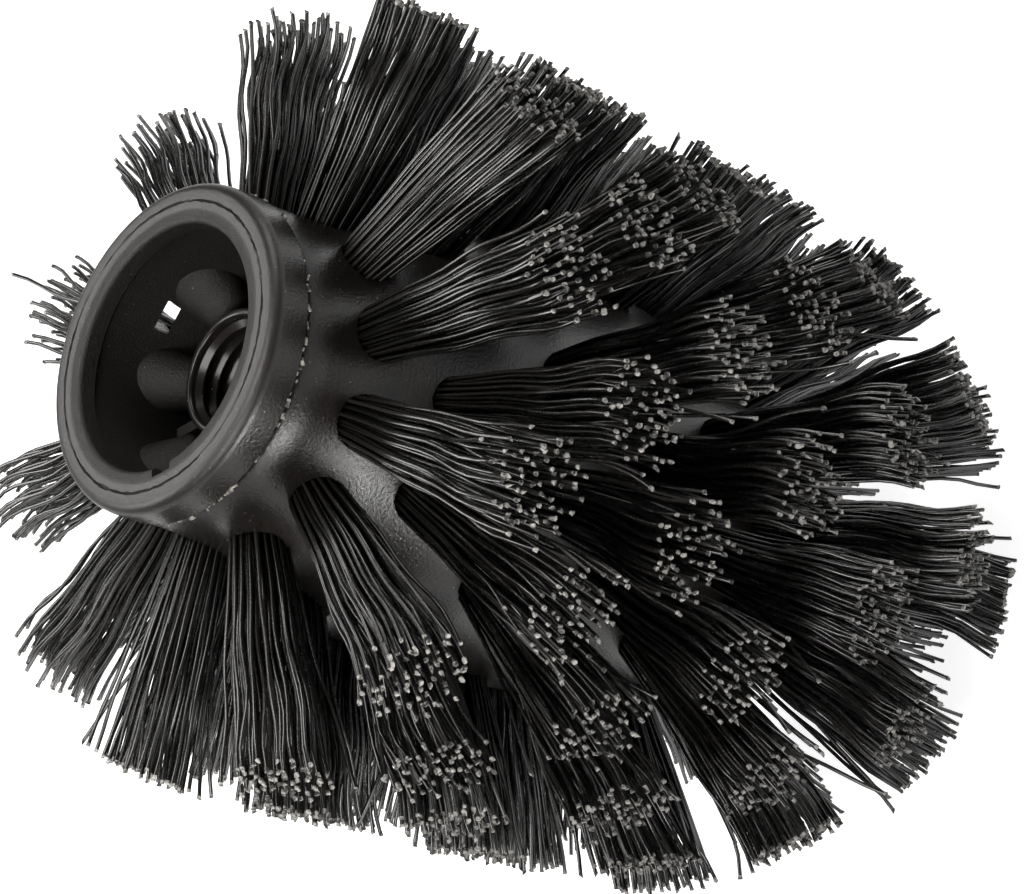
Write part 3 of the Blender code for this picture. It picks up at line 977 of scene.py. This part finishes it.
def filament_paths(length, cut_angle, lean, chance):
    """Return every filament's centre points in a tuft that grows along +Z, root first.

    The filaments stand in the hole like seeds in a sunflower, and splay as they rise. The whole
    tuft bends and crimps as one, each filament adds a little of its own, and a few stray. The ends
    are trimmed to one plane, whose slope is the cut's angle less the tuft's own lean.
    """
    count = FILAMENTS_PER_TUFT
    seeds = np.arange(count) + 0.5
    spread = np.sqrt(seeds / count)
    around = seeds * math.pi * (3.0 - math.sqrt(5.0)) + chance.uniform(0.0, math.tau)
    noise = np.array([[chance.gauss(0.0, 1.0) for _ in range(8)] for _ in range(count)])
    root = TUFT_ROOT_RADIUS * spread
    tip = TUFT_TIP_RADIUS * spread * (1.0 + TIP_SCATTER * noise[:, 0])
    tip_around = around + TIP_TURN * noise[:, 1]
    rise = np.append(np.linspace(0.0, 1.0 - CUT_FLARE_LENGTH / length, FILAMENT_STEPS), 1.0)
    bend = TUFT_BEND * np.array([chance.gauss(0.0, 1.0), chance.gauss(0.0, 1.0)])
    wave = math.tau * length / CRIMP_LENGTH
    phase = chance.uniform(0.0, math.tau)
    crimp = TUFT_CRIMP * np.array([math.cos(phase), math.sin(phase)])
    shared = np.sin(wave * rise + chance.uniform(0.0, math.tau))
    stray = np.array([chance.random() < STRAY_SHARE for _ in range(count)])
    paths = np.zeros((count, FILAMENT_STEPS + 1, 3))
    for number in range(count):
        start = root[number] * np.array([math.cos(around[number]), math.sin(around[number])])
        stop = tip[number] * np.array([math.cos(tip_around[number]), math.sin(tip_around[number])])
        flat = start[None, :] * (1.0 - rise)[:, None] + stop[None, :] * rise[:, None]
        flat += bend[None, :] * (rise**2)[:, None]
        flat += crimp[None, :] * (shared * rise * (1.0 + CRIMP_SCATTER * noise[number, 2]))[:, None]
        own_wave = wave * (1.0 + CRIMP_LENGTH_SCATTER * noise[number, 3])
        own = np.sin(own_wave * rise + noise[number, 4] * FREE_ANGLE)
        toward = noise[number, 5] * FREE_ANGLE
        side = np.array([math.cos(toward), math.sin(toward)])
        flat += side[None, :] * (FILAMENT_CRIMP * own * rise)[:, None]
        if stray[number]:
            flat += side[None, :] * (STRAY_BEND * abs(noise[number, 6]) * rise**2)[:, None]
        paths[number, :, 0:2] = flat
        trim = math.tan(math.radians(lean - cut_angle)) * flat[-1, 0]
        end = length + trim + CUT_SPREAD * noise[number, 7]
        paths[number, :, 2] = -TUFT_SINK + (end + TUFT_SINK) * rise
    return paths


def ring_points(paths, chance):
    """Return the corners of every filament's cross-sections, for paths in the tuft's own frame."""
    forward = np.gradient(paths, axis=1)
    forward /= np.linalg.norm(forward, axis=2, keepdims=True)
    right = np.cross(np.array([0.0, 1.0, 0.0]), forward)
    right /= np.linalg.norm(right, axis=2, keepdims=True)
    ahead = np.cross(forward, right)
    turns = np.arange(FILAMENT_SIDES) * math.tau / FILAMENT_SIDES
    across = np.cos(turns)[None, None, :, None] * right[:, :, None, :]
    across = across + np.sin(turns)[None, None, :, None] * ahead[:, :, None, :]
    corners = paths[:, :, None, :] + across * FILAMENT_RADIUS
    for number in range(len(paths)):
        flare = 1.0 + CUT_FLARE_SHARE * chance.random()
        slant = math.tan(math.radians(CUT_SLANT)) * chance.gauss(0.0, SLANT_SCATTER)
        toward = chance.uniform(0.0, math.tau)
        lift = slant * FILAMENT_RADIUS * np.cos(turns - toward)
        corners[number, -1] += across[number, -1] * FILAMENT_RADIUS * (flare - 1.0)
        corners[number, -1] += forward[number, -1] * lift[:, None]
    return corners


def new_tuft():
    """Return an empty bmesh with the layers that hold each filament's shade, rise and number."""
    shape = bmesh.new()
    shape.verts.layers.float.new("strand")
    shape.verts.layers.float.new("rise")
    shape.faces.layers.int.new("owner")
    return shape


def add_tuft(shape, place, length, cut_angle, lean, chance):
    """Draw one tuft's filaments into a bmesh: a small circle for each, extruded step by step.

    Most strands are dark and a few are paler. The faces of the trimmed ends are returned.
    """
    strand = shape.verts.layers.float.get("strand")
    rise = shape.verts.layers.float.get("rise")
    owner = shape.faces.layers.int.get("owner")
    corners = ring_points(filament_paths(length, cut_angle, lean, chance), chance)
    turn = np.array(place.to_3x3())
    corners = corners @ turn.T + np.array(place.translation)
    tops = []
    for number in range(FILAMENTS_PER_TUFT):
        circle = bmesh.ops.create_circle(
            shape, cap_ends=True, segments=FILAMENT_SIDES, radius=FILAMENT_RADIUS
        )
        face = circle["verts"][0].link_faces[0]
        face[owner] = number
        tint = chance.random() ** TINT_POWER
        for corner, point in zip(face.verts, corners[number, 0]):
            corner.co = point
            corner[strand] = tint
        tops.append(face)
    for step in range(1, FILAMENT_STEPS + 1):
        tops = bmesh.ops.extrude_discrete_faces(shape, faces=tops)["faces"]
        for face in tops:
            for corner, point in zip(face.verts, corners[face[owner], step]):
                corner.co = point
                corner[rise] = step / FILAMENT_STEPS
    return tops


def make_tufts(name, node, places, length, cut_angle, lean, materials):
    """Make one piece of tufts that stands for a CAD node."""
    chance = random.Random(f"{SEED} {name}")
    shape = new_tuft()
    for place in places:
        tuft = new_tuft()
        tops = add_tuft(tuft, place, length, cut_angle, lean, chance)
        for face in tuft.faces:
            face.smooth = True
        for face in tops:
            # The trimmed ends take the second material: pale patches of bruising and painted glint
            face.smooth = False
            face.material_index = 1
            for side in {side for edge in face.edges for side in edge.link_faces}:
                side.material_index = 1
        edges = [edge for edge in tuft.edges if edge.is_boundary]
        bmesh.ops.holes_fill(tuft, edges=edges, sides=FILAMENT_SIDES)
        bmesh.ops.recalc_face_normals(tuft, faces=tuft.faces[:])
        part = bpy.data.meshes.new("tuft")
        tuft.to_mesh(part)
        tuft.free()
        shape.from_mesh(part)
        bpy.data.meshes.remove(part)
    piece = add_piece(name, shape, materials)
    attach(piece, "root")
    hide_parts(node)


def make_bristles():
    """Make every tuft, in the pairs and the end set that the CAD nodes hold."""
    materials = [extruded_filament(), cut_filament_end()]
    for number, (_, length_share) in enumerate(RING_SHARES):
        lean = RING_LEANS[number]
        cut_angle = RING_CUTS[number]
        places = ring_places(number)
        for pair in range(RING_COUNTS[number] // 2):
            name = f"bristle_ring{number + 1}_{pair + 1}"
            node = f"tuft_pair_ring{number + 1}_{pair + 1}"
            both = places[2 * pair : 2 * pair + 2]
            make_tufts(name, node, both, TUFT_LENGTH * length_share, cut_angle, lean, materials)
    make_tufts(
        "bristle_end",
        "tuft_set_end",
        end_places(),
        TUFT_LENGTH,
        END_TUFT_CUT,
        END_TUFT_LEAN,
        materials,
    )


def make_floor(height):
    """Make the studio floor under the lowest bristle."""
    shape = bmesh.new()
    bmesh.ops.create_grid(shape, x_segments=1, y_segments=1, size=FLOOR_SIZE / 2.0)
    bmesh.ops.translate(shape, vec=(0.0, 0.0, height), verts=shape.verts[:])
    add_piece("floor", shape, [matt_white_floor()])


def make_camera():
    """Place the camera as in the photograph: above the collar, rolled so that the head lies down."""
    data = bpy.data.cameras.new("camera")
    data.lens = CAMERA_LENS
    data.sensor_width = CAMERA_SENSOR
    data.sensor_fit = "HORIZONTAL"
    data.clip_start = CAMERA_CLIP
    camera = bpy.data.objects.new("camera", data)
    bpy.context.scene.collection.objects.link(camera)
    tilt = math.radians(CAMERA_ELEVATION)
    back = Vector((math.cos(tilt), 0.0, math.sin(tilt)))
    upright = (-back).to_track_quat("-Z", "Y").to_matrix().to_4x4()
    roll = Matrix.Rotation(math.radians(CAMERA_ROLL), 4, "Z")
    centre = Vector(CAMERA_AIM) + back * CAMERA_DISTANCE
    camera.matrix_world = Matrix.Translation(centre) @ upright @ roll
    bpy.context.scene.camera = camera


def add_softbox(name, azimuth, elevation, distance, size, power, aim, spread):
    """Add an oblong lamp that faces a point from an azimuth and an elevation in degrees."""
    data = bpy.data.lights.new(name, "AREA")
    data.shape = "RECTANGLE"
    data.size, data.size_y = size
    data.energy = power
    data.color = LAMP_COLOUR
    data.spread = math.radians(spread)
    lamp = bpy.data.objects.new(name, data)
    bpy.context.scene.collection.objects.link(lamp)
    across = math.cos(math.radians(elevation))
    around = math.radians(azimuth)
    rise = math.sin(math.radians(elevation))
    away = Vector((across * math.cos(around), across * math.sin(around), rise))
    lamp.location = Vector(aim) + away * distance
    lamp.rotation_mode = "QUATERNION"
    lamp.rotation_quaternion = away.to_track_quat("Z", "Y")


def make_light():
    """Light the head with soft boxes and a plain pale surround."""
    for row in SOFT_BOXES:
        add_softbox(*row)
    world = bpy.data.worlds.new("studio")
    bpy.context.scene.world = world
    world.use_nodes = True
    surround = world.node_tree.nodes["Background"]
    surround.inputs["Color"].default_value = linear("#ffffff")
    surround.inputs["Strength"].default_value = SURROUND_STRENGTH


def main():
    """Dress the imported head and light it."""
    clear_scene()
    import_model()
    low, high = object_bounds()
    cad_box = [list(low), list(high)]
    bpy.context.scene.view_settings.view_transform = "Standard"
    make_camera()
    plastic = moulded_polypropylene()
    make_body(plastic)
    make_flash(torn_polypropylene())
    make_petals(plastic)
    make_ribs(plastic)
    make_thread(plastic)
    make_bristles()
    low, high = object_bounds()
    make_floor(min(low.z, cad_box[0][2]) - FLOOR_GAP)
    make_light()


main()
